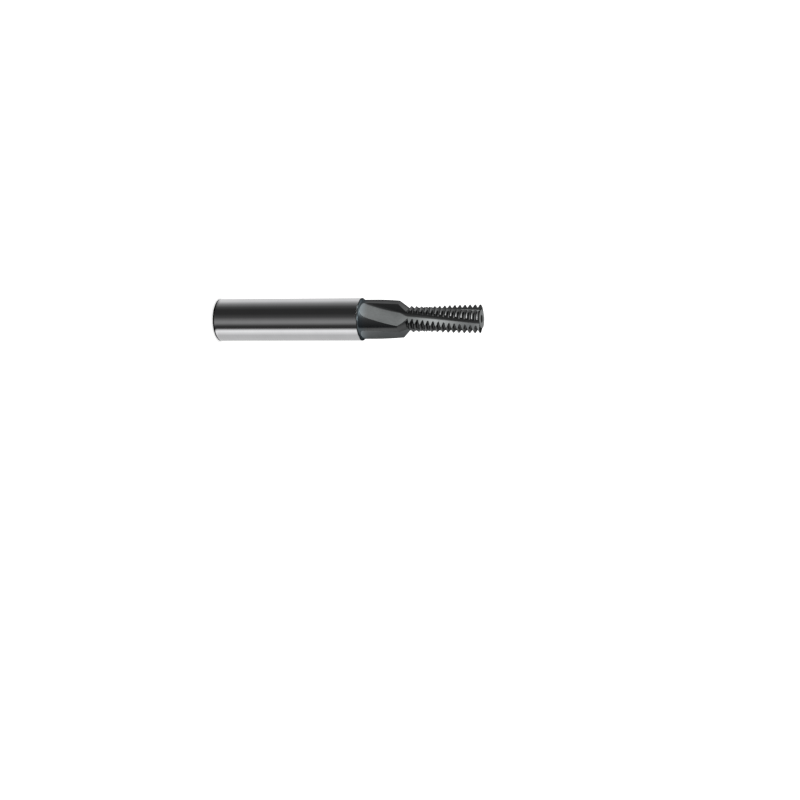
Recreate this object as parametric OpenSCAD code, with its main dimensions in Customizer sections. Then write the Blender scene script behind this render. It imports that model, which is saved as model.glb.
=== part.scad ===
// Thread mill with a countersinking step.
// One piece of solid carbide: a plain ground shank, a coated collar, a countersink body
// with a 90 degree cone, and a row of ring-shaped thread teeth on helical lands.
// The shank end lies on the ground plane and the tip points up the Z axis.

/* [Shank] */
// Shank diameter in mm
shank_d = 12; // [11.5:0.5:16]
// Length of the bright ground shank in mm
shank_length = 42.8; // [25:0.1:60]
// Chamfer at the shank end in mm
end_chamfer = 0.3; // [0.2:0.1:1.5]

/* [Countersink body] */
// Length of the coated collar in mm
collar_length = 0.4; // [0.3:0.1:3]
// Diameter of the countersink body in mm
countersink_d = 11; // [9.5:0.1:11.2]
// Length of the countersink body up to its cone in mm
countersink_length = 11.2; // [9:0.1:18]
// Included angle of the countersink cone in degrees
countersink_angle = 90; // [60:5:120]

/* [Thread teeth] */
// Diameter over the teeth in mm
cutter_d = 8; // [7.8:0.1:8.6]
// Thread pitch in mm
pitch = 1.5; // [1:0.25:1.5]
// Number of teeth along each land
teeth = 14; // [4:1:16]
// Thread angle in degrees
thread_angle = 60; // [55:1:65]
// Drop of each land from its cutting edge to its heel in mm
relief = 0.2; // [0.05:0.01:0.25]
// Diameter of the flat tip face in mm
tip_d = 5.2; // [4:0.1:5.2]
// Slope of the front of the last tooth against the tip face in degrees
front_angle = 11; // [5:1:30]

/* [Flutes] */
// Number of flutes
flute_count = 4; // [3:1:4]
// Helix angle at the teeth in degrees
helix_angle = 8.5; // [0:0.5:15]
// Diameter of the core between the flutes in mm
core_d = 5.4; // [5.3:0.1:5.8]
// Share of the flute depth that the rising core takes up along the countersink body
core_taper = 0.78; // [0.4:0.02:0.9]
// Lean of the rake face behind the radius in degrees
rake_lean = 30; // [0:1:35]
// Slope of the flute back against the radius at its corner in degrees
heel_angle = 4; // [2:1:14]
// Radius in the corner of the flute in mm
flute_radius = 0.9; // [0.5:0.1:1.2]
// Radius of the curve in which the flutes run out in mm
runout_radius = 3; // [2:0.5:12]
// Angle to the axis at which the flutes run out in degrees
runout_angle = 11; // [4:1:16]

/* [Coolant duct] */
// Diameter of the coolant duct in mm
coolant_d = 1.6; // [1:0.1:2.2]
// Countersink of the duct at both ends in mm
coolant_chamfer = 0.3; // [0.1:0.05:0.5]

/* [Hidden] */
$fn = 96;

// Radii
shank_r = shank_d / 2;
collar_r = shank_r - 0.05;
countersink_r = countersink_d / 2;
cutter_r = cutter_d / 2;
core_r = core_d / 2;
tip_r = tip_d / 2;

// Thread form: an internal thread with flats of an eighth and a quarter of the pitch
crest_flat = pitch / 8;
root_flat = pitch / 4;
flank = (pitch - crest_flat - root_flat) / 2;
root_r = cutter_r - flank / tan(thread_angle / 2);

// Heights up the axis
collar_step = min(collar_r - countersink_r, 0.4 * collar_length);
collar_end = shank_length + collar_length;
cone_start = collar_end + countersink_length;
cone_end = cone_start + (countersink_r - root_r) / tan(countersink_angle / 2);
last_crest = cone_end + pitch * (teeth - 0.5) + crest_flat / 2;
tip_z = last_crest + (cutter_r - tip_r) * tan(front_angle);
seat_z = shank_length - 0.5;

// Helix: degrees of turn per mm on the teeth, and on the straight run-out below the cone
turn_rate = tan(helix_angle) / cutter_r * 180 / PI;
run_rate = tan(runout_angle) / countersink_r * 180 / PI;

// Depth of the flutes, lost first along the rising core and then in the run-out curve
depth = collar_r - core_r;
core_slope = core_taper * depth / (cone_end - shank_length);
run_start = shank_length + sqrt(2 * runout_radius * (1 - core_taper) * depth);

// Points on each flute and land
corner_steps = 3;
back_steps = 3;
land_steps = 5;
body_steps = 10;

// How far the core and the run-out have lifted the flute at height z
function lift(z) =
    core_slope * max(0, cone_end - z) + pow(max(0, run_start - z), 2) / (2 * runout_radius);

// Angle of the cutting edge at height z
function edge_angle(z) = turn_rate * (max(z, cone_start) - tip_z) - run_rate * max(0, cone_start - z);

// Slope of the flute back at height z, as the run-out leaves the helix
function back_angle(z) = heel_angle + run_rate * max(0, cone_start - z);

// Relief grows along the cone, holds on the teeth and ends at the tip
function relief_at(z) =
    z >= tip_z ? 0 : relief * max(0, min(1, (z - cone_start) / (cone_end - cone_start)));

function angle_of(p) = atan2(p[1], p[0]);

// Distance from the axis to the centre of the corner arc
function corner_x(d, h) = (d + flute_radius * (1 - sin(h))) / cos(h);

// Angle at which the leaning rake face reaches the cutting radius r
function rake_angle(d, h, r) =
    let (
        foot = [corner_x(d, h) - flute_radius * sin(rake_lean), flute_radius * (1 - cos(rake_lean))],
        along = [cos(rake_lean), -sin(rake_lean)],
        b = foot * along,
        reach = sqrt(max(0, b * b - foot * foot + r * r)) - b
    )
    angle_of(foot + max(0, reach) * along);

// Corner of the flute, an arc between the rake face and the back, as [angle, radius]
function corner(d, h) =
    let (
        start = 258 - rake_lean,
        end = 180 + h
    )
    [for (i = [0 : corner_steps])
        let (
            a = start + (end - start) * i / corner_steps,
            p = [corner_x(d, h) + flute_radius * cos(a), flute_radius * (1 + sin(a))]
        )
        [angle_of(p), norm(p)]];

// One flute and the land behind it at height z and cutting radius r, as [angle, radius]
function sector(z, r) =
    let (
        d = core_r + lift(z),
        h = back_angle(z),
        drop = relief_at(z),
        arc = corner(d, h),
        back = arc[corner_steps][0],
        heel = max(h + acos(min(1, d / (r - drop))), back + 8),
        edge = rake_angle(d, h, r),
        next = edge + 360 / flute_count
    )
    concat(
        [[edge, r]],
        [for (p = arc) [p[0], min(p[1], r)]],
        [for (i = [1 : back_steps])
            let (t = back + (heel - back) * i / (back_steps + 1))
            [t, min(r - drop * t / next, d / cos(t - h))]],
        [for (i = [0 : land_steps - 1])
            let (f = i / land_steps)
            [heel + (next - heel) * f, r - drop * (1 - f)]]
    );

// A closed ring of points around the axis
function ring(z, r) =
    let (edge = edge_angle(z), s = sector(z, r))
    [for (k = [0 : flute_count - 1], p = s)
        let (a = edge + 360 / flute_count * k + p[0])
        [p[1] * cos(a), p[1] * sin(a), z]];

// Heights and radii of the coated head from the shank to the tip, closest where the flutes run out
body_profile = concat(
    [[seat_z, collar_r], [shank_length, collar_r]],
    [[collar_end - collar_step, collar_r]],
    [for (i = [0 : body_steps]) [collar_end + countersink_length * pow(i / body_steps, 1.5), countersink_r]]
);
tooth_profile = [for (i = [0 : teeth - 1], k = [0 : 3])
    let (
        middle = cone_end + pitch * (i + 0.5),
        side = k < 2 ? -1 : 1,
        crest = k == 1 || k == 2
    )
    [middle + side * (crest_flat / 2 + (crest ? 0 : flank)), crest ? cutter_r : root_r]];
tip_profile = [for (r = [root_r, core_r + 0.05, tip_r])
    [last_crest + (cutter_r - r) * tan(front_angle), r]];
head_profile = concat(
    body_profile,
    [[cone_end, root_r]],
    [for (i = [0 : 4 * teeth - 2]) tooth_profile[i]],
    tip_profile
);

// Skin over a stack of rings, closed by a flat cap at each end
module loft(profile) {
    n = len(sector(profile[0][0], profile[0][1])) * flute_count;
    last = len(profile) - 1;
    centres = [[0, 0, profile[0][0]], [0, 0, profile[last][0]]];
    points = concat([for (s = profile) each ring(s[0], s[1])], centres);
    base = (last + 1) * n;
    walls = [for (i = [0 : last - 1], j = [0 : n - 1])
        let (k = (j + 1) % n)
        each [
            [i * n + j, (i + 1) * n + k, i * n + k],
            [i * n + j, (i + 1) * n + j, (i + 1) * n + k]
        ]];
    caps = [for (j = [0 : n - 1])
        let (k = (j + 1) % n)
        each [
            [base, j, k],
            [base + 1, last * n + k, last * n + j]
        ]];
    polyhedron(points, concat(walls, caps), convexity = 10);
}

// Bright shank with its end chamfer
module shank() {
    rotate_extrude()
        polygon([
            [0, 0],
            [shank_r - end_chamfer, 0],
            [shank_r, end_chamfer],
            [shank_r, shank_length],
            [0, shank_length]
        ]);
}

// Central duct, opened a little at both ends
module coolant_duct() {
    mouth = coolant_d / 2 + coolant_chamfer;
    overrun = 0.5;
    rotate_extrude()
        polygon([
            [0, -overrun],
            [mouth + overrun, -overrun],
            [coolant_d / 2, coolant_chamfer],
            [coolant_d / 2, tip_z - coolant_chamfer],
            [mouth + overrun, tip_z + overrun],
            [0, tip_z + overrun]
        ]);
}

module thread_mill() {
    color([0.36, 0.38, 0.4])
        difference() {
            union() {
                shank();
                loft(head_profile);
            }
            coolant_duct();
        }
}

thread_mill();
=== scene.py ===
"""Thread mill with a countersinking step, modelled and dressed for a still picture.

The blank is a turned profile, its lands are relieved, and four flutes are swept
through it. The shank stays bright, the head wears a dark coating.
"""

import math

import bmesh
import bpy
from bpy.props import FloatProperty, FloatVectorProperty, IntProperty, PointerProperty
from bpy.types import Operator, Panel, PropertyGroup
from mathutils import Euler, Matrix, Vector


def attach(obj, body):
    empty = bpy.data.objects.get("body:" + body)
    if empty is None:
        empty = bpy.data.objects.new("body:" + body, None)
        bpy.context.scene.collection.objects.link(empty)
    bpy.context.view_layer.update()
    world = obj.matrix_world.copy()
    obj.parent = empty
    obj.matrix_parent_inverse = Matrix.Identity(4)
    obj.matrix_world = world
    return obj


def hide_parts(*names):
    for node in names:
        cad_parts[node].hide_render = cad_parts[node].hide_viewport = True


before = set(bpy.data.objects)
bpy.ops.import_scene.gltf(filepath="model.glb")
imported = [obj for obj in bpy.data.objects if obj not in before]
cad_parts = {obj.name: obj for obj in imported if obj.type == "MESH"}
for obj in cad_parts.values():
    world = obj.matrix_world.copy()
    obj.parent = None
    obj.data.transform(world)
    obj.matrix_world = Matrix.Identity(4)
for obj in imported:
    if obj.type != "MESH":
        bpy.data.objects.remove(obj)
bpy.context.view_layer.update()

bl_info = {
    "name": "Thread Mill",
    "version": (1, 0, 0),
    "blender": (4, 5, 0),
    "location": "3D View > Sidebar > Tool Parts",
    "description": "Models a solid carbide thread mill and the stage it stands on",
    "category": "Add Mesh",
}

MM = 0.001
NODE = "thread_mill"

# The mesh is drawn in millimetres and brought to metres once it is finished.
MERGE = 1e-4
TURN_STEPS = 240
HELIX_STEPS = 44
RUNOUT_STEPS = 26
CORNER_STEPS = 8
SMOOTH_ANGLE = math.radians(32)

# How far the flute cutter reaches past the blank, in millimetres.
CUTTER_SIDE = 2.5
CUTTER_TOP = 1.0
CUTTER_BACK = 0.5
RUNOUT_OVER = 0.5

# Length of the first stretch of the flute back, in millimetres.
BACK_START = 2.5

# Nothing is relieved this near the tip face, or this far inside its rim, in millimetres.
FACE_DEPTH = 0.01
FACE_MARGIN = 0.2

# Most of the collar that its bevel may take up.
COLLAR_BEVEL = 0.85

# Rounding of the corners of the blank: radius in millimetres, and steps.
ROUNDING = {
    "end": (0.12, 3),
    "chamfer": (0.2, 4),
    "border": (0.0, 0),
    "collar": (0.12, 4),
    "collar foot": (0.25, 4),
    "cone": (0.03, 2),
    "cone foot": (0.15, 3),
    "root": (0.12, 2),
    "crest": (0.035, 2),
    "tip": (0.06, 2),
    "mouth": (0.04, 2),
    "duct": (0.05, 2),
}


def length(label, text, value):
    """Length property, given in millimetres."""
    return FloatProperty(
        name=label, description=text, default=value * MM, unit="LENGTH", precision=5
    )


def angle(label, text, value):
    """Angle property, given in degrees."""
    return FloatProperty(
        name=label, description=text, default=math.radians(value), unit="ROTATION"
    )


def number(label, text, value, unit="NONE"):
    """Plain number property."""
    return FloatProperty(name=label, description=text, default=value, unit=unit)


def colour(label, text, value):
    """Colour property, as linear red, green and blue."""
    return FloatVectorProperty(
        name=label, description=text, default=value, size=3, min=0.0, max=1.0, subtype="COLOR"
    )


class ThreadMillSettings(PropertyGroup):
    """Sizes and finishes of the thread mill."""

    shank_d: length("Shank Diameter", "Diameter of the ground shank", 12.0)
    shank_length: length("Shank Length", "Length of the bright shank", 42.8)
    end_chamfer: length("End Chamfer", "Chamfer at the shank end", 0.3)
    collar_length: length("Collar Length", "Length of the coated collar", 0.4)
    countersink_d: length("Countersink Diameter", "Diameter of the countersink body", 11.0)
    countersink_length: length("Countersink Length", "Length of the countersink body", 11.2)
    countersink_angle: angle("Countersink Angle", "Included angle of the cone", 90.0)
    cutter_d: length("Cutter Diameter", "Diameter over the teeth", 8.0)
    pitch: length("Pitch", "Distance from tooth to tooth", 1.5)
    teeth: IntProperty(name="Teeth", description="Teeth along each land", default=14, min=1)
    thread_angle: angle("Thread Angle", "Angle between the flanks of a tooth", 60.0)
    relief: length("Relief", "Drop of each land from edge to heel", 0.2)
    tip_d: length("Tip Diameter", "Diameter of the flat tip face", 5.2)
    front_angle: angle("Front Angle", "Slope of the front of the last tooth", 11.0)
    flute_count: IntProperty(name="Flutes", description="Number of flutes", default=4, min=1)
    helix_angle: angle("Helix Angle", "Helix angle at the teeth", 8.5)
    core_d: length("Core Diameter", "Diameter of the core between the flutes", 5.4)
    core_taper: number("Core Taper", "Share of the flute depth lost along the body", 0.78)
    rake_lean: angle("Rake Lean", "Lean of the rake face behind the radius", 30.0)
    heel_angle: angle("Heel Angle", "Slope of the flute back", 4.0)
    flute_radius: length("Flute Radius", "Radius in the corner of the flute", 0.9)
    runout_radius: length("Run-out Radius", "Radius of the curve in which a flute ends", 3.0)
    runout_angle: angle("Run-out Angle", "Angle to the axis at which a flute runs out", 11.0)
    coolant_d: length("Duct Diameter", "Diameter of the coolant duct", 1.6)
    coolant_chamfer: length("Duct Chamfer", "Countersink of the duct at both ends", 0.3)
    carbide: colour("Carbide", "Ground carbide of the shank", (0.60, 0.60, 0.61))
    coating: colour("Coating", "Coating of the head", (0.122, 0.124, 0.124))
    # Paler copy of the coating: painted light for the flute backs and the end face.
    flute_coat_painted_light: colour("Flute Coating", "Coating inside the flutes", (0.350, 0.364, 0.360))
    # Painted highlight: a paler, bluer colour where the flutes run out at the collar.
    runout_painted_highlight: colour("Run-out Coating", "Coating where the flutes end", (0.46, 0.53, 0.56))


class StageSettings(PropertyGroup):
    """Camera, floor, light and reflection cards."""

    camera_turn: angle("Camera Turn", "Direction of the camera around the tool", -100.0)
    camera_rise: angle("Camera Rise", "Height of the camera over the level", 18.27)
    camera_distance: length("Camera Distance", "Distance from the camera to its target", 612.0)
    camera_target: length("Camera Target", "Height of the target on the axis", 39.0)
    camera_lens: number("Lens", "Focal length of the camera", 98.0, "CAMERA")
    aim_tilt: number("Aim Tilt", "Turn about the picture's X", -0.0370)
    aim_pan: number("Aim Pan", "Turn about the picture's Y", -0.0231)
    aim_roll: number("Aim Roll", "Turn in the picture", -0.0045)
    floor_colour: colour("Floor", "Colour of the floor", (0.94, 0.94, 0.94))
    soft_box_size: length("Soft Box Size", "Width of the soft box overhead", 200.0)
    soft_box_offset: length("Soft Box Offset", "How far the soft box hangs behind the tool", 80.0)
    soft_box_height: length("Soft Box Height", "Height of the soft box over the floor", 450.0)
    floor_glow: number("Floor Glow", "Lift of the floor to white", 0.3)
    room_light: number("Room Light", "Strength of the soft light", 1.0)
    top_light: number("Top Light", "Power of the soft box overhead", 0.4, "POWER")
    ring_radius: length("Card Ring Radius", "Radius of the ring of reflection cards", 8.0)
    card_gap: length("Card Gap", "Inner radius of the card on the floor", 5.5)
    ring_height: length("Card Ring Height", "Height of the ring of reflection cards", 76.0)


class Form:
    """Heights and radii that follow from the settings, in millimetres."""

    def __init__(self, s):
        self.shank_r = s.shank_d / 2 / MM
        self.shank_length = s.shank_length / MM
        self.end_chamfer = s.end_chamfer / MM
        self.countersink_r = s.countersink_d / 2 / MM
        self.cutter_r = s.cutter_d / 2 / MM
        self.core_r = s.core_d / 2 / MM
        self.tip_r = s.tip_d / 2 / MM
        self.duct_r = s.coolant_d / 2 / MM
        self.duct_chamfer = s.coolant_chamfer / MM
        self.mouth_r = self.duct_r + self.duct_chamfer
        self.relief = s.relief / MM
        self.pitch = s.pitch / MM
        self.teeth = s.teeth
        self.flute_count = s.flute_count
        self.flute_radius = s.flute_radius / MM
        self.runout_radius = s.runout_radius / MM
        self.heel_angle = s.heel_angle
        self.rake_lean = s.rake_lean
        self.sector = 2 * math.pi / self.flute_count

        # Thread form, with flats of an eighth and a quarter of the pitch
        self.crest_flat = self.pitch / 8
        root_flat = self.pitch / 4
        self.flank = (self.pitch - self.crest_flat - root_flat) / 2
        self.root_r = self.cutter_r - self.flank / math.tan(s.thread_angle / 2)

        # Heights up the axis
        collar = s.collar_length / MM
        self.collar_end = self.shank_length + collar
        self.collar_step = min(self.shank_r - self.countersink_r, COLLAR_BEVEL * collar)
        self.cone_start = self.collar_end + s.countersink_length / MM
        cone = (self.countersink_r - self.root_r) / math.tan(s.countersink_angle / 2)
        self.cone_end = self.cone_start + cone
        self.last_crest = self.cone_end + self.pitch * (self.teeth - 0.5) + self.crest_flat / 2
        self.tip_z = self.last_crest + (self.cutter_r - self.tip_r) * math.tan(s.front_angle)

        # Turn of the flutes per millimetre, on the teeth and on the run-out below the cone
        self.turn_rate = math.tan(s.helix_angle) / self.cutter_r
        self.run_slope = math.tan(s.runout_angle)
        self.run_rate = self.run_slope / self.countersink_r

        # Depth of the flutes, lost along the rising core and then in the run-out
        depth = self.shank_r - self.core_r
        self.core_slope = s.core_taper * depth / (self.cone_end - self.shank_length)
        self.run_start = self.shank_length + math.sqrt(
            2 * self.runout_radius * (1 - s.core_taper) * depth
        )

    def edge_angle(self, z):
        """Angle of the cutting edge at height z."""
        below = max(0.0, self.cone_start - z)
        return self.turn_rate * (max(z, self.cone_start) - self.tip_z) - self.run_rate * below

    def lift_at(self, z):
        """How far the rising core and the run-out have lifted the flute at height z."""
        rise = self.core_slope * max(0.0, self.cone_end - z)
        return rise + max(0.0, self.run_start - z) ** 2 / (2 * self.runout_radius)

    def relief_at(self, z):
        """Drop of the land at height z: full on the teeth, none at the body and the tip."""
        if z >= self.tip_z - FACE_DEPTH:
            return 0.0
        share = (z - self.cone_start) / (self.cone_end - self.cone_start)
        return self.relief * max(0.0, min(1.0, share))


def round_corner(before, corner, after, radius, steps):
    """Points of an arc that takes the place of a corner."""
    if radius <= 0:
        return [corner]
    a = (before - corner).normalized()
    b = (after - corner).normalized()
    half = a.angle(b) / 2
    reach = radius / math.tan(half)
    centre = corner + (a + b).normalized() * radius / math.sin(half)
    first = corner + a * reach - centre
    last = corner + b * reach - centre
    sweep = first.angle_signed(last)
    points = []
    for i in range(steps + 1):
        turn = -sweep * i / steps
        c, d = math.cos(turn), math.sin(turn)
        points.append(centre + Vector((first.x * c - first.y * d, first.x * d + first.y * c)))
    return points


def blank_profile(f):
    """Closed half section of the blank as radius and height."""
    corners = [
        (f.mouth_r, 0.0, "duct"),
        (f.shank_r - f.end_chamfer, 0.0, "end"),
        (f.shank_r, f.end_chamfer, "chamfer"),
        (f.shank_r, f.shank_length, "border"),
        (f.shank_r, f.collar_end - f.collar_step, "collar"),
        (f.countersink_r, f.collar_end, "collar foot"),
        (f.countersink_r, f.cone_start, "cone"),
        (f.root_r, f.cone_end, "cone foot"),
    ]
    for i in range(f.teeth):
        middle = f.cone_end + f.pitch * (i + 0.5)
        start = middle - f.crest_flat / 2
        end = middle + f.crest_flat / 2
        corners.append((f.root_r, start - f.flank, "root"))
        corners.append((f.cutter_r, start, "crest"))
        corners.append((f.cutter_r, end, "crest"))
        if i < f.teeth - 1:
            corners.append((f.root_r, end + f.flank, "root"))
    corners += [
        (f.tip_r, f.tip_z, "tip"),
        (f.mouth_r, f.tip_z, "mouth"),
        (f.duct_r, f.tip_z - f.duct_chamfer, "duct"),
        (f.duct_r, f.duct_chamfer, "duct"),
    ]
    spots = [Vector((r, z)) for r, z, _ in corners]
    points = []
    for i, (_, _, name) in enumerate(corners):
        after = spots[(i + 1) % len(spots)]
        points += round_corner(spots[i - 1], spots[i], after, *ROUNDING[name])
    return points


def flute_section(f):
    """Closed section of a flute: leaning rake face, corner, back, and well outside."""
    h = f.heel_angle
    far = f.shank_r + CUTTER_SIDE
    r = f.flute_radius
    cx = (f.core_r + r * (1 - math.sin(h))) / math.cos(h)
    lean = f.rake_lean
    foot = Vector((cx - r * math.sin(lean), r - r * math.cos(lean)))
    points = [foot + Vector((1.0, -math.tan(lean))) * (far - foot.x)]
    start, end = math.radians(270) - lean, math.pi + h
    for i in range(CORNER_STEPS + 1):
        a = start + (end - start) * i / CORNER_STEPS
        points.append(Vector((cx + r * math.cos(a), r + r * math.sin(a))))
    along = Vector((-math.sin(h), math.cos(h)))
    points.append(points[-1] + along * BACK_START)
    points.append(points[-1] + along * (far + CUTTER_BACK - BACK_START))
    points.append(Vector((far, points[-1].y)))
    return points


def deselect_all():
    """Leave edit mode with nothing selected."""
    if bpy.context.object and bpy.context.object.mode != "OBJECT":
        bpy.ops.object.mode_set(mode="OBJECT")
    bpy.ops.object.select_all(action="DESELECT")


def trace_loop(name, points):
    """Draw a closed loop of edges, point by point, and stay in edit mode."""
    deselect_all()
    bpy.ops.mesh.primitive_plane_add()
    obj = bpy.context.object
    obj.name = name
    obj.data.name = name
    bpy.ops.object.mode_set(mode="EDIT")
    bpy.ops.mesh.select_all(action="SELECT")
    bpy.ops.mesh.merge(type="CENTER")
    bpy.ops.transform.translate(value=points[0])
    for here, there in zip(points, points[1:] + points[:1]):
        bpy.ops.mesh.extrude_region_move(TRANSFORM_OT_translate={"value": there - here})
    bpy.ops.mesh.select_all(action="SELECT")
    bpy.ops.mesh.remove_doubles(threshold=MERGE)
    return obj


def turn_blank(f):
    """Spin the half section into the blank and relieve its lands."""
    points = [Vector((r, 0.0, z)) for r, z in blank_profile(f)]
    blank = trace_loop(NODE, points)
    bpy.ops.mesh.spin(steps=TURN_STEPS, angle=2 * math.pi, center=(0, 0, 0), axis=(0, 0, 1))
    bpy.ops.mesh.select_all(action="SELECT")
    bpy.ops.mesh.remove_doubles(threshold=MERGE)
    bpy.ops.mesh.normals_make_consistent(inside=False)
    relieve_lands(f, blank)
    bpy.ops.object.mode_set(mode="OBJECT")
    return blank


def relieve_lands(f, blank):
    """Let each land fall away from its cutting edge to its heel."""
    mesh = bmesh.from_edit_mesh(blank.data)
    for vert in mesh.verts:
        x, y, z = vert.co
        r = math.hypot(x, y)
        drop = f.relief_at(z)
        if drop == 0.0 or r < f.tip_r - FACE_MARGIN:
            continue
        heel = f.heel_angle + math.acos(min(1.0, f.core_r / r))
        behind = (math.atan2(y, x) - f.edge_angle(z)) % f.sector
        if behind < heel:
            share = behind / heel
        else:
            share = (f.sector - behind) / (f.sector - heel)
        vert.co.xy *= 1 - drop * share / r
    bmesh.update_edit_mesh(blank.data)


def sweep_flute(f, material):
    """Sweep the flute section down the teeth and out of the body at the collar."""
    top = f.tip_z + CUTTER_TOP
    section = [Vector((p.x, p.y, top)) for p in flute_section(f)]
    cutter = trace_loop("flute", section)
    bpy.ops.mesh.edge_face_add()
    turn_selected(f.edge_angle(top))
    step = (top - f.cone_start) / HELIX_STEPS
    for i in range(HELIX_STEPS):
        z = top - step * i
        out = (f.lift_at(z - step) - f.lift_at(z)) / math.cos(f.heel_angle)
        face = f.edge_angle(z)
        move = (out * math.cos(face), out * math.sin(face), -step)
        bpy.ops.mesh.extrude_region_move(TRANSFORM_OT_translate={"value": move})
        turn_selected(f.edge_angle(z - step) - face)
    run_out(f)
    bpy.ops.mesh.select_all(action="SELECT")
    bpy.ops.mesh.normals_make_consistent(inside=False)
    bpy.ops.object.mode_set(mode="OBJECT")
    cutter.data.materials.append(material)
    return cutter


def turn_selected(turn):
    """Turn what is selected about the tool's axis."""
    bpy.ops.transform.rotate(value=-turn, orient_axis="Z", center_override=(0, 0, 0))


def run_out(f):
    """Carry the flute section on straight along its helix while it lifts out."""
    reach = f.cone_start - f.shank_length + RUNOUT_OVER
    face = f.edge_angle(f.cone_start)
    sideways = Matrix.Rotation(face, 2)
    last = Vector((0.0, 0.0))
    for i in range(1, RUNOUT_STEPS + 1):
        down = reach * i / RUNOUT_STEPS
        lift = f.lift_at(f.cone_start - down) - f.lift_at(f.cone_start)
        back = down * f.run_slope
        out = (lift + back * math.sin(f.heel_angle)) / math.cos(f.heel_angle)
        place = sideways @ Vector((out, -back))
        move = place - last
        last = place
        bpy.ops.mesh.extrude_region_move(
            TRANSFORM_OT_translate={"value": (move.x, move.y, -reach / RUNOUT_STEPS)}
        )


def pick(obj):
    """Select one object alone and make it the active one."""
    deselect_all()
    obj.select_set(True)
    bpy.context.view_layer.objects.active = obj


def cut_flutes(f, blank, material):
    """Cut the flute through the blank once for each land."""
    cutter = sweep_flute(f, material)
    for _ in range(f.flute_count):
        pick(blank)
        bpy.ops.object.modifier_add(type="BOOLEAN")
        cut = blank.modifiers[-1]
        cut.operation = "DIFFERENCE"
        cut.solver = "EXACT"
        cut.material_mode = "TRANSFER"
        cut.object = cutter
        bpy.ops.object.modifier_apply(modifier=cut.name)
        pick(cutter)
        bpy.ops.object.mode_set(mode="EDIT")
        bpy.ops.mesh.select_all(action="SELECT")
        turn_selected(f.sector)
        bpy.ops.object.mode_set(mode="OBJECT")
    bpy.data.objects.remove(cutter, do_unlink=True)


def finish_tool(blank):
    """Bring the tool to metres, clean its mesh and set its shading."""
    pick(blank)
    bpy.ops.object.mode_set(mode="EDIT")
    bpy.ops.mesh.select_all(action="SELECT")
    bpy.ops.mesh.remove_doubles(threshold=MERGE)
    bpy.ops.mesh.normals_make_consistent(inside=False)
    bpy.ops.object.mode_set(mode="OBJECT")
    bpy.ops.transform.resize(value=(MM, MM, MM), center_override=(0, 0, 0))
    bpy.ops.object.transform_apply(location=True, rotation=True, scale=True)
    bpy.ops.object.shade_smooth_by_angle(angle=SMOOTH_ANGLE)


class Nodes:
    """Short way to lay out the nodes of one material."""

    def __init__(self, tree):
        self.tree = tree
        tree.nodes.clear()

    def add(self, kind, **inputs):
        """New node, with values or links on the named inputs."""
        node = self.tree.nodes.new(kind)
        for key, value in inputs.items():
            self.put(node.inputs[key.replace("_", " ")], value)
        return node

    def put(self, socket, value):
        """Set a value on a socket, or link an output to it."""
        if isinstance(value, bpy.types.NodeSocket):
            self.tree.links.new(value, socket)
        else:
            socket.default_value = value

    def math(self, operation, *values):
        """Output of a Math node."""
        node = self.tree.nodes.new("ShaderNodeMath")
        node.operation = operation
        for socket, value in zip(node.inputs, values):
            self.put(socket, value)
        return node.outputs[0]

    def plus(self, base, wave, share):
        """Base value with a share of a wave added to it."""
        return self.math("ADD", base, self.math("MULTIPLY", wave, share))

    def place(self):
        """Place on the object, as a whole and along each axis."""
        place = self.add("ShaderNodeTexCoord").outputs["Object"]
        return place, self.add("ShaderNodeSeparateXYZ", Vector=place).outputs

    def vector(self, x, y, z):
        """Output of a Combine XYZ node."""
        return self.add("ShaderNodeCombineXYZ", X=x, Y=y, Z=z).outputs[0]

    def radius(self, axes):
        """Distance from the tool's axis."""
        squares = [self.math("MULTIPLY", axes[name], axes[name]) for name in ("X", "Y")]
        return self.math("SQRT", self.math("ADD", *squares))

    def noise(self, vector, scale, detail):
        """Noise between 0 and 1 on a vector."""
        node = self.add("ShaderNodeTexNoise", Vector=vector, Scale=scale, Detail=detail)
        return node.outputs["Factor" if "Factor" in node.outputs else "Fac"]

    def spread(self, value, low, high, start=0.0, end=1.0, smooth=False):
        """Value taken from one range to another."""
        node = self.tree.nodes.new("ShaderNodeMapRange")
        node.interpolation_type = "SMOOTHSTEP" if smooth else "LINEAR"
        for socket, entry in zip(node.inputs, (value, start, end, low, high)):
            self.put(socket, entry)
        return node.outputs[0]

    def fade(self, distance, low, high, start, end):
        """Soft passage between two places given in millimetres."""
        return self.spread(distance, low, high, start * MM, end * MM, True)

    def mix(self, share, first, second):
        """Mix of two colours."""
        node = self.tree.nodes.new("ShaderNodeMix")
        node.data_type = "RGBA"
        self.put(node.inputs["Factor"], share)
        for name, value in (("A", first), ("B", second)):
            socket = [i for i in node.inputs if i.name == name and i.type == "RGBA"][0]
            if not isinstance(value, bpy.types.NodeSocket):
                value = tuple(value) + (1.0,)
            self.put(socket, value)
        return [o for o in node.outputs if o.type == "RGBA"][0]

    def seen(self):
        """1 where the camera, a reflection or clear matter looks, else 0."""
        path = self.add("ShaderNodeLightPath").outputs
        seen = self.math("MAXIMUM", path["Is Camera Ray"], path["Is Glossy Ray"])
        return self.math("MAXIMUM", seen, path["Is Transmission Ray"])

    def metal(self, base, roughness, relief, depth, rim):
        """Metal surface as the material's output, with the tint of its rim."""
        normal = self.add("ShaderNodeBump", Strength=1.0, Distance=depth, Height=relief)
        surface = self.add(
            "ShaderNodeBsdfPrincipled",
            Base_Color=base,
            Metallic=1.0,
            Roughness=roughness,
            Specular_Tint=rim,
            Normal=normal.outputs[0],
        )
        self.add("ShaderNodeOutputMaterial", Surface=surface.outputs[0])


def new_material(name):
    """Empty material, and the means to lay out its nodes."""
    material = bpy.data.materials.new(name)
    material.use_nodes = True
    return material, Nodes(material.node_tree)


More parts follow.
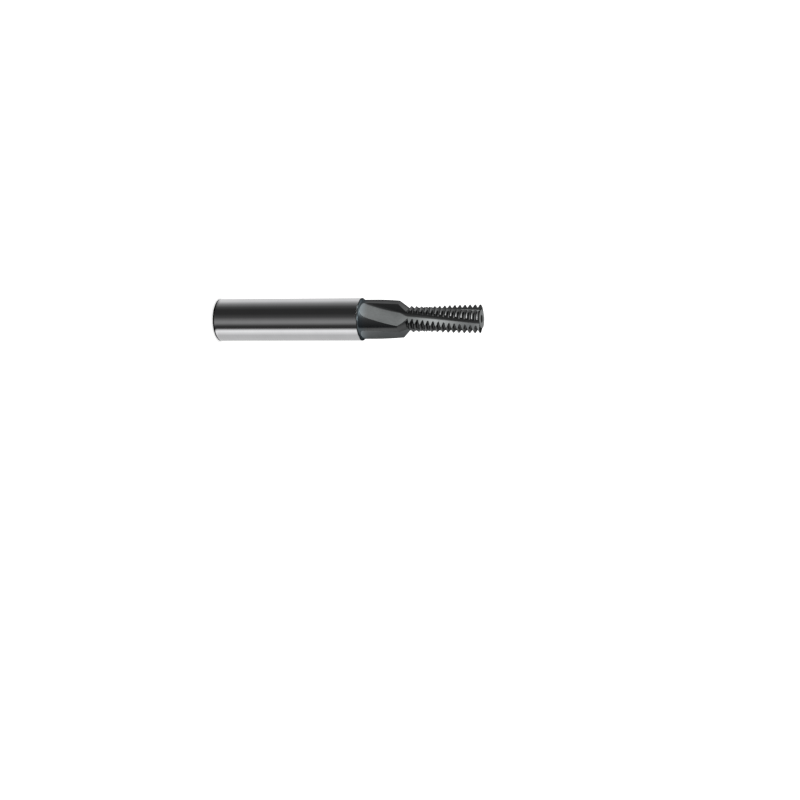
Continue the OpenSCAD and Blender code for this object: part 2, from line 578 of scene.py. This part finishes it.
# Scales of the noise in the finishes, in waves per metre, and its detail.
CARBIDE_CLOUDS = 160.0
COAT_CLOUDS = 220.0
FLUTE_CLOUDS = 260.0
BORDER_WAVES = 420.0
COAT_GRAIN = 5200.0
FLUTE_GRAIN = 4200.0
LINES_ACROSS = 160.0
LINES_ALONG = 9000.0
MARKS_AROUND = 26.0
MARKS_OUTWARD = 9000.0
MARKS_ALONG = 90.0
SOFT = 2.0
FINE = 3.0

# Stretches of the noise over which a finish passes from one shade to the next.
CLOUD_RANGE = (0.30, 0.70)
PATCH_RANGE = (0.35, 0.70)
LINE_RANGE = (0.35, 0.75)
PATCH_STRENGTH = 0.5
LINE_STRENGTH = 0.3

# Shades, as shares of the finish's own colour.
CARBIDE_CLOUD_SHADE = 0.94
CARBIDE_LINE_SHADE = 0.85
# Painted shade on the chamfer at the shank end.
CHAMFER_PAINTED_SHADE = 0.03
COAT_CLOUD_SHADE = 0.84
COAT_LINE_SHADE = 0.70
# Painted shade on the coat just above its border on the shank.
BORDER_PAINTED_SHADE = 0.35
# Painted shade in the roots of the teeth, and a painted highlight on their crests.
ROOT_PAINTED_SHADE = 0.65
CREST_PAINTED_HIGHLIGHT = 3.3
# Painted shade on the front of the last tooth and in the duct.
FRONT_PAINTED_SHADE = 0.35
DUCT_PAINTED_SHADE = 0.20
# Painted shade on the rake face and in the corner of the flute.
RAKE_PAINTED_SHADE = 0.45
MARK_SHADE = 0.80
PATCH_SHADE = 0.75
HAZE_TINT = (0.95, 1.20, 1.35)
# Share of the bluer tint at the coat's border, and of the painted run-out highlight in the
# flutes.
HAZE = 0.8

# Tint of a metal where it turns away from the eye.
CARBIDE_RIM = (1.0, 1.0, 1.0)
# Painted shade in the rim of the chamfer at the shank end.
CHAMFER_PAINTED_SHADE_RIM = (0.05, 0.05, 0.05)
COAT_RIM = (0.35, 0.35, 0.35)
# Painted shade in the rim of the rake face.
RAKE_PAINTED_SHADE_RIM = (0.1, 0.1, 0.1)
FLUTE_RIM = (0.5, 0.5, 0.5)

# Roughness: its least value, and how much the lines, the grain or the marks add.
CARBIDE_ROUGHNESS = (0.08, 0.05)
COAT_ROUGHNESS = (0.18, 0.10)
FLUTE_ROUGHNESS = (0.46, 0.12)
COLLAR_ROUGHNESS = 0.22

# Share of the grain in the relief of a surface, and the relief's depth in millimetres.
COAT_GRAIN_SHARE = 0.6
FLUTE_GRAIN_SHARE = 0.4
GROUND_DEPTH = 0.0015
FLUTE_DEPTH = 0.003

# Places where one finish passes into the next, in millimetres.
HAZE_REACH = 3.0
BORDER_WAVER = 0.4
BORDER_BLUR = 0.06
# Stretch above the border over which the painted shade fades out.
BORDER_SHADE_REACH = (0.12, 0.30)
TEETH_BLUR = 0.3
# Where the painted root shade ends below the crests, the band of the painted crest highlight, and
# its reach up the teeth.
ROOT_TOP = 0.15
CREST_BAND = (0.20, 0.06)
HIGHLIGHT_REACH = 9.0
FRONT_BLUR = 0.06
FACE_BLUR = 0.08
DUCT_BLUR = 0.05
# Width and blur of the painted shade in the corner of the flute.
CORNER_WIDTH = (0.2, 0.7)
CORNER_BLUR = 0.4

# Reach of the painted shade at the shank end, up the shank and inwards, in chamfer sizes.
SHADE_STRIP_TOP = (1.6, 1.9)
SHADE_STRIP_INSIDE = 0.5


def shade(finish, share):
    """Darker or lighter form of a colour."""
    return [c * share for c in finish]


def coat_colour(n, s, f, place, height):
    """Dark coating, a little bluer towards its border on the shank."""
    cloud = n.noise(place, COAT_CLOUDS, FINE)
    haze = n.fade(height, HAZE, 0.0, f.shank_length, f.shank_length + HAZE_REACH)
    tint = [c * share for c, share in zip(s.coating, HAZE_TINT)]
    clouded = n.spread(cloud, 0.0, 1.0, *CLOUD_RANGE)
    dark = n.mix(clouded, s.coating, shade(s.coating, COAT_CLOUD_SHADE))
    return n.mix(haze, dark, tint)


def grinding_lines(n, axes):
    """Lines that run round the tool, so they change fast along Z only."""
    return n.noise(
        n.vector(
            n.math("MULTIPLY", axes["X"], LINES_ACROSS),
            n.math("MULTIPLY", axes["Y"], LINES_ACROSS),
            n.math("MULTIPLY", axes["Z"], LINES_ALONG),
        ),
        1.0,
        FINE,
    )


def end_painted_shade_mask(n, axes, f):
    """1 where shade is painted: on the chamfer at the shank end and the strip beside it, else 0.
    """
    near_end = n.fade(axes["Z"], 1.0, 0.0, *[f.end_chamfer * top for top in SHADE_STRIP_TOP])
    chamfer_r = f.shank_r - f.end_chamfer
    inside = chamfer_r - f.end_chamfer * SHADE_STRIP_INSIDE
    outside = n.fade(n.radius(axes), 0.0, 1.0, inside, chamfer_r)
    return n.math("MULTIPLY", near_end, outside)


def ground_material(s, f):
    """Ground carbide of the shank, passing into the coating at the collar."""
    material, n = new_material("ground_carbide")
    place, axes = n.place()
    lines = grinding_lines(n, axes)
    cloud = n.noise(place, CARBIDE_CLOUDS, FINE)
    speck = n.noise(place, COAT_GRAIN, SOFT)

    # The coating ends in a slightly uneven line round the shank, with painted shade on the coat
    # just above the line.
    waver = n.math("SUBTRACT", n.noise(place, BORDER_WAVES, SOFT), 0.5)
    height = n.plus(axes["Z"], waver, BORDER_WAVER * MM)
    border = f.shank_length
    coated = n.fade(height, 0.0, 1.0, border - BORDER_BLUR, border + BORDER_BLUR)
    first = n.fade(height, 1.0, 0.0, *[border + up for up in BORDER_SHADE_REACH])

    clouded = n.spread(cloud, 0.0, 1.0, *CLOUD_RANGE)
    carbide = n.mix(clouded, s.carbide, shade(s.carbide, CARBIDE_CLOUD_SHADE))
    lined = n.spread(lines, 0.0, LINE_STRENGTH, *LINE_RANGE)
    carbide = n.mix(lined, carbide, shade(s.carbide, CARBIDE_LINE_SHADE))
    base = n.mix(coated, carbide, coat_colour(n, s, f, place, height))
    # Painted shade along the border, where the coat meets the bright shank.
    base = n.mix(n.math("MULTIPLY", coated, first), base, shade(s.coating, BORDER_PAINTED_SHADE))

    # Painted shade, in colour and in rim, on the chamfer at the end and the strip beside it.
    chamfer = end_painted_shade_mask(n, axes, f)
    base = n.mix(chamfer, base, shade(s.carbide, CHAMFER_PAINTED_SHADE))
    rim = n.mix(coated, CARBIDE_RIM, COAT_RIM)
    rim = n.mix(chamfer, rim, CHAMFER_PAINTED_SHADE_RIM)

    least, more = CARBIDE_ROUGHNESS
    polished = n.plus(least, lines, more)
    roughness = n.plus(polished, coated, n.math("SUBTRACT", COLLAR_ROUGHNESS, polished))
    relief = n.plus(lines, speck, n.math("MULTIPLY", coated, COAT_GRAIN_SHARE))
    n.metal(base, roughness, relief, GROUND_DEPTH * MM, rim)
    return material


def coated_material(s, f):
    """Coating on the countersink body and the teeth."""
    material, n = new_material("coated_carbide")
    place, axes = n.place()
    out = n.radius(axes)
    lines = grinding_lines(n, axes)
    speck = n.noise(place, COAT_GRAIN, SOFT)
    base = coat_colour(n, s, f, place, axes["Z"])
    lined = n.spread(lines, 0.0, LINE_STRENGTH, *LINE_RANGE)
    base = n.mix(lined, base, shade(s.coating, COAT_LINE_SHADE))

    # Painted shade in the roots, and a painted highlight on the crests that grows towards the
    # tip.
    ends = [(f.cone_end + side * TEETH_BLUR) * MM for side in (-1, 1)]
    on_teeth = n.spread(axes["Z"], 0.0, 1.0, *ends)
    root_shade_mask = n.fade(out, 1.0, 0.0, f.root_r, f.cutter_r - ROOT_TOP)
    base = n.mix(n.math("MULTIPLY", on_teeth, root_shade_mask), base, shade(s.coating, ROOT_PAINTED_SHADE))
    ends = [(f.cone_end + up) * MM for up in (0.0, HIGHLIGHT_REACH)]
    highlight_towards_tip = n.spread(axes["Z"], 0.0, 1.0, *ends)
    crest = n.fade(out, 0.0, 1.0, *[f.cutter_r - below for below in CREST_BAND])
    base = n.mix(n.math("MULTIPLY", highlight_towards_tip, crest), base, shade(s.coating, CREST_PAINTED_HIGHLIGHT))

    # Painted shade on the front of the last tooth and in the duct; the end face takes the paler
    # flute coat, which is painted light.
    front = n.fade(axes["Z"], 0.0, 1.0, f.last_crest, f.last_crest + FRONT_BLUR)
    base = n.mix(front, base, shade(s.coating, FRONT_PAINTED_SHADE))
    face = n.fade(out, 1.0, 0.0, f.tip_r - FACE_BLUR, f.tip_r)
    base = n.mix(n.math("MULTIPLY", front, face), base, s.flute_coat_painted_light)
    duct = n.fade(out, 1.0, 0.0, f.mouth_r, f.mouth_r + DUCT_BLUR)
    base = n.mix(duct, base, shade(s.coating, DUCT_PAINTED_SHADE))

    least, more = COAT_ROUGHNESS
    roughness = n.plus(least, speck, more)
    relief = n.plus(lines, speck, COAT_GRAIN_SHARE)
    n.metal(base, roughness, relief, GROUND_DEPTH * MM, COAT_RIM + (1.0,))
    return material


def behind_edge(n, axes, f):
    """Angle from the nearest cutting edge, along the helix and down the run-out."""
    around = n.math("ARCTAN2", axes["Y"], axes["X"])
    helix = n.math("MAXIMUM", axes["Z"], f.cone_start * MM)
    below = n.math("MAXIMUM", n.math("SUBTRACT", f.cone_start * MM, axes["Z"]), 0.0)
    edge = n.math(
        "SUBTRACT",
        n.math("MULTIPLY", n.math("SUBTRACT", helix, f.tip_z * MM), f.turn_rate / MM),
        n.math("MULTIPLY", below, f.run_rate / MM),
    )
    ahead = n.math("SUBTRACT", around, edge)
    return n.math("WRAP", ahead, f.sector - f.rake_lean, -f.rake_lean)


def flute_material(s, f):
    """Coated flutes with grinding marks that run along the helix."""
    material, n = new_material("coated_flute")
    place, axes = n.place()
    behind = behind_edge(n, axes, f)
    out = n.radius(axes)
    marks = n.noise(
        n.vector(
            n.math("MULTIPLY", behind, MARKS_AROUND),
            n.math("MULTIPLY", out, MARKS_OUTWARD),
            n.math("MULTIPLY", axes["Z"], MARKS_ALONG),
        ),
        1.0,
        FINE,
    )
    speck = n.noise(place, FLUTE_GRAIN, SOFT)
    cloud = n.noise(place, FLUTE_CLOUDS, FINE)
    # The paler flute coat is painted light, for backs lit from above.
    marked = n.spread(marks, 0.0, 1.0, *CLOUD_RANGE)
    base = n.mix(marked, s.flute_coat_painted_light, shade(s.flute_coat_painted_light, MARK_SHADE))
    patched = n.spread(cloud, 0.0, PATCH_STRENGTH, *PATCH_RANGE)
    base = n.mix(patched, base, shade(s.flute_coat_painted_light, PATCH_SHADE))
    # Painted highlight, pale and blue, where the flutes run out towards the collar.
    haze = n.fade(axes["Z"], HAZE, 0.0, f.shank_length, f.shank_length + HAZE_REACH)
    base = n.mix(haze, base, s.runout_painted_highlight)

    # Painted shade on the rake face and its corner; the back keeps the paler flute coat, which is
    # painted light.
    from_rake = n.math("MULTIPLY", out, n.math("SINE", behind))
    widths = [width * MM for width in CORNER_WIDTH]
    corner = n.fade(axes["Z"], *widths, f.cone_start, f.cone_end)
    pale = n.fade(n.math("SUBTRACT", from_rake, corner), 0.0, 1.0, 0.0, CORNER_BLUR)
    base = n.mix(pale, shade(s.coating, RAKE_PAINTED_SHADE), base)
    rim = n.mix(pale, RAKE_PAINTED_SHADE_RIM, FLUTE_RIM)

    least, more = FLUTE_ROUGHNESS
    roughness = n.plus(least, marks, more)
    relief = n.plus(marks, speck, FLUTE_GRAIN_SHARE)
    n.metal(base, roughness, relief, FLUTE_DEPTH * MM, rim)
    return material


class MESH_OT_thread_mill_add(Operator):
    """Turn the blank, relieve its lands, cut its flutes and give it its finish"""

    bl_idname = "mesh.thread_mill_add"
    bl_label = "Add Thread Mill"
    bl_options = {"REGISTER", "UNDO"}

    def execute(self, context):
        s = context.scene.thread_mill
        form = Form(s)
        blank = turn_blank(form)
        blank.data.materials.append(ground_material(s, form))
        blank.data.materials.append(coated_material(s, form))
        for face in blank.data.polygons:
            face.material_index = 1 if face.center.z > form.collar_end else 0
        cut_flutes(form, blank, flute_material(s, form))
        finish_tool(blank)
        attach(blank, "root")
        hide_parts(NODE)
        return {"FINISHED"}


# Stage: the floor, its grain in waves per metre, the ring of cards and the camera.
FLOOR_SIZE = 60.0
FLOOR_GRAIN = 900.0
FLOOR_GRAIN_SHADE = 0.985
FLOOR_ROUGHNESS = 0.9
RING_SIDES = 96
RING_LIFT = 0.02
CAMERA_NEAR = 0.01

# Reflection cards around the tool: direction in degrees from the camera, and brightness.
SHANK_CARDS = (
    (-180.0, 0.75),
    (-82.0, 0.92),
    (-62.0, 0.32),
    (-48.0, 0.10),
    (-36.0, 0.04),
    (-20.0, 0.04),
    (-8.0, 0.09),
    (6.0, 0.32),
    (11.0, 0.32),
    (21.0, 0.06),
    (30.0, 0.04),
    (40.0, 1.36),
    (60.0, 0.76),
    (180.0, 0.68),
)
COLLAR_CARDS = (
    (-180.0, 0.45),
    (-90.0, 0.50),
    (-60.0, 0.32),
    (-46.0, 0.50),
    (-37.0, 2.30),
    (-25.0, 2.30),
    (-13.0, 0.40),
    (4.0, 0.20),
    (33.0, 0.06),
    (37.0, 0.70),
    (61.0, 0.55),
    (78.0, 0.25),
    (180.0, 0.25),
)
BODY_CARDS = (
    (-180.0, 0.45),
    (-90.0, 0.80),
    (-64.0, 0.70),
    (-48.0, 0.62),
    (-15.0, 0.62),
    (4.0, 0.26),
    (33.0, 0.06),
    (37.0, 0.80),
    (61.0, 0.62),
    (78.0, 0.25),
    (180.0, 0.25),
)
TEETH_CARDS = (
    (-180.0, 0.80),
    (-100.0, 1.25),
    (-66.0, 0.50),
    (-44.0, 0.40),
    (-32.0, 1.70),
    (-14.0, 2.10),
    (0.0, 1.40),
    (15.0, 0.20),
    (34.0, 0.16),
    (50.0, 0.70),
    (180.0, 0.40),
)

# Blue added to the cards of the head.
HEAD_BLUE = 0.012

# Heights on the ring, in millimetres, over which one row of cards passes into the next.
SHANK_TO_HEAD = (42.15, 42.30)
COLLAR_TO_BODY = (42.6, 44.6)
BODY_TO_TEETH = (54.5, 63.5)


def add_floor(s):
    """Wide pale floor."""
    deselect_all()
    bpy.ops.mesh.primitive_plane_add(size=FLOOR_SIZE)
    floor = bpy.context.object
    floor.name = "floor"
    material, n = new_material("pale_floor")
    place, _ = n.place()
    grain = n.noise(place, FLOOR_GRAIN, SOFT)
    surface = n.add(
        "ShaderNodeBsdfPrincipled",
        Base_Color=n.mix(grain, s.floor_colour, shade(s.floor_colour, FLOOR_GRAIN_SHADE)),
        Roughness=FLOOR_ROUGHNESS,
        Specular_IOR_Level=0.0,
        Emission_Color=(1.0, 1.0, 1.0, 1.0),
        Emission_Strength=n.math("MULTIPLY", n.seen(), s.floor_glow),
    )
    n.add("ShaderNodeOutputMaterial", Surface=surface.outputs[0])
    floor.data.materials.append(material)


def card_ramp(n, share, cards, blue=0.0):
    """Colour ramp around the ring of cards, with some blue added."""
    ramp = n.add("ShaderNodeValToRGB", Fac=share)
    stops = ramp.color_ramp.elements
    for degrees, _ in cards[1:-1]:
        stops.new((degrees + 180) / 360)
    for stop, (degrees, level) in zip(stops, cards):
        stop.position = (degrees + 180) / 360
        stop.color = (level, level + blue / 3, level + blue, 1.0)
    return ramp.outputs[0]


def card_material(s):
    """Glow of the cards, in rows that follow the parts of the tool."""
    material, n = new_material("reflection_cards")
    _, axes = n.place()
    around = n.math("ARCTAN2", axes["Y"], axes["X"])
    share = n.spread(around, 0.0, 1.0, -math.pi, math.pi)
    low = n.math("ADD", axes["Z"], s.ring_height / 2)
    teeth = n.fade(low, 0.0, 1.0, *BODY_TO_TEETH)
    collar = n.fade(low, 1.0, 0.0, *COLLAR_TO_BODY)
    head = n.fade(low, 0.0, 1.0, *SHANK_TO_HEAD)
    cards = card_ramp(n, share, BODY_CARDS, HEAD_BLUE)
    cards = n.mix(teeth, cards, card_ramp(n, share, TEETH_CARDS, HEAD_BLUE))
    cards = n.mix(collar, cards, card_ramp(n, share, COLLAR_CARDS, HEAD_BLUE))
    cards = n.mix(head, card_ramp(n, share, SHANK_CARDS), cards)
    glow = n.add("ShaderNodeEmission", Color=cards, Strength=1.0)
    n.add("ShaderNodeOutputMaterial", Surface=glow.outputs[0])
    return material


def add_cards(s):
    """Ring of pale and dark cards that only the polished surfaces see."""
    deselect_all()
    bpy.ops.mesh.primitive_cylinder_add(
        vertices=RING_SIDES,
        radius=s.ring_radius,
        depth=s.ring_height,
        end_fill_type="NOTHING",
        location=(0, 0, s.ring_height / 2 + RING_LIFT * MM),
        rotation=(0, 0, s.camera_turn),
    )
    ring = bpy.context.object
    ring.name = "reflection_cards"

    # The lower rim is carried inwards as a card on the floor.
    bpy.ops.object.mode_set(mode="EDIT")
    bpy.ops.mesh.select_all(action="DESELECT")
    mesh = bmesh.from_edit_mesh(ring.data)
    for edge in mesh.edges:
        edge.select_set(all(vert.co.z < 0 for vert in edge.verts))
    bmesh.update_edit_mesh(ring.data)
    bpy.ops.mesh.extrude_region_move()
    inner = s.card_gap / s.ring_radius
    bpy.ops.transform.resize(value=(inner, inner, 1.0), center_override=ring.location)
    bpy.ops.object.mode_set(mode="OBJECT")

    ring.data.materials.append(card_material(s))
    ring.visible_camera = False
    ring.visible_diffuse = False
    ring.visible_shadow = False
    ring.visible_transmission = False


def add_lights(s):
    """Soft box overhead and an even room light."""
    deselect_all()
    x = -s.soft_box_offset * math.cos(s.camera_turn)
    y = -s.soft_box_offset * math.sin(s.camera_turn)
    bpy.ops.object.light_add(type="AREA", location=(x, y, s.soft_box_height))
    box = bpy.context.object
    box.name = "soft_box"
    box.data.shape = "SQUARE"
    box.data.size = s.soft_box_size
    box.data.energy = s.top_light
    world = bpy.data.worlds.new("room")
    bpy.context.scene.world = world
    world.use_nodes = True
    n = Nodes(world.node_tree)
    strength = n.spread(n.seen(), s.room_light, 1.0)
    room = n.add("ShaderNodeBackground", Color=(1.0, 1.0, 1.0, 1.0), Strength=strength)
    n.add("ShaderNodeOutputWorld", Surface=room.outputs[0])


def add_camera(s):
    """Camera that sees the tool lying across the picture."""
    front = Vector((math.cos(s.camera_turn), math.sin(s.camera_turn), 0.0))
    up = Vector((0.0, 0.0, 1.0))
    toward = front * math.cos(s.camera_rise) + up * math.sin(s.camera_rise)
    right = (up - toward * math.sin(s.camera_rise)).normalized()
    facing = Matrix((right, toward.cross(right), toward)).transposed()
    aim = Euler((s.aim_tilt, s.aim_pan, s.aim_roll), "XYZ").to_matrix()
    place = up * s.camera_target + toward * s.camera_distance
    deselect_all()
    bpy.ops.object.camera_add()
    camera = bpy.context.object
    camera.name = "camera"
    camera.matrix_world = Matrix.Translation(place) @ (facing @ aim).to_4x4()
    camera.data.lens = s.camera_lens
    camera.data.clip_start = CAMERA_NEAR
    bpy.context.scene.camera = camera


class SCENE_OT_thread_mill_stage_add(Operator):
    """Set up the floor, the reflection cards, the light and the camera"""

    bl_idname = "scene.thread_mill_stage_add"
    bl_label = "Add Stage"
    bl_options = {"REGISTER", "UNDO"}

    def execute(self, context):
        s = context.scene.thread_mill_stage
        add_floor(s)
        add_cards(s)
        add_lights(s)
        add_camera(s)
        context.scene.view_settings.view_transform = "Standard"
        return {"FINISHED"}


class VIEW3D_PT_thread_mill(Panel):
    """Sizes, finishes and stage of the thread mill"""

    bl_idname = "VIEW3D_PT_thread_mill"
    bl_label = "Thread Mill"
    bl_space_type = "VIEW_3D"
    bl_region_type = "UI"
    bl_category = "Tool Parts"

    def draw(self, context):
        layout = self.layout
        layout.use_property_split = True
        for settings, operator in (
            (context.scene.thread_mill, MESH_OT_thread_mill_add),
            (context.scene.thread_mill_stage, SCENE_OT_thread_mill_stage_add),
        ):
            column = layout.column(align=True)
            for name in settings.__annotations__:
                column.prop(settings, name)
            column.operator(operator.bl_idname)


CLASSES = (
    ThreadMillSettings,
    StageSettings,
    MESH_OT_thread_mill_add,
    SCENE_OT_thread_mill_stage_add,
    VIEW3D_PT_thread_mill,
)


def register():
    for cls in CLASSES:
        bpy.utils.register_class(cls)
    bpy.types.Scene.thread_mill = PointerProperty(type=ThreadMillSettings)
    bpy.types.Scene.thread_mill_stage = PointerProperty(type=StageSettings)


def unregister():
    del bpy.types.Scene.thread_mill_stage
    del bpy.types.Scene.thread_mill
    for cls in reversed(CLASSES):
        bpy.utils.unregister_class(cls)


def main():
    register()
    bpy.ops.mesh.thread_mill_add()
    bpy.ops.scene.thread_mill_stage_add()
    deselect_all()


if __name__ == "__main__":
    main()
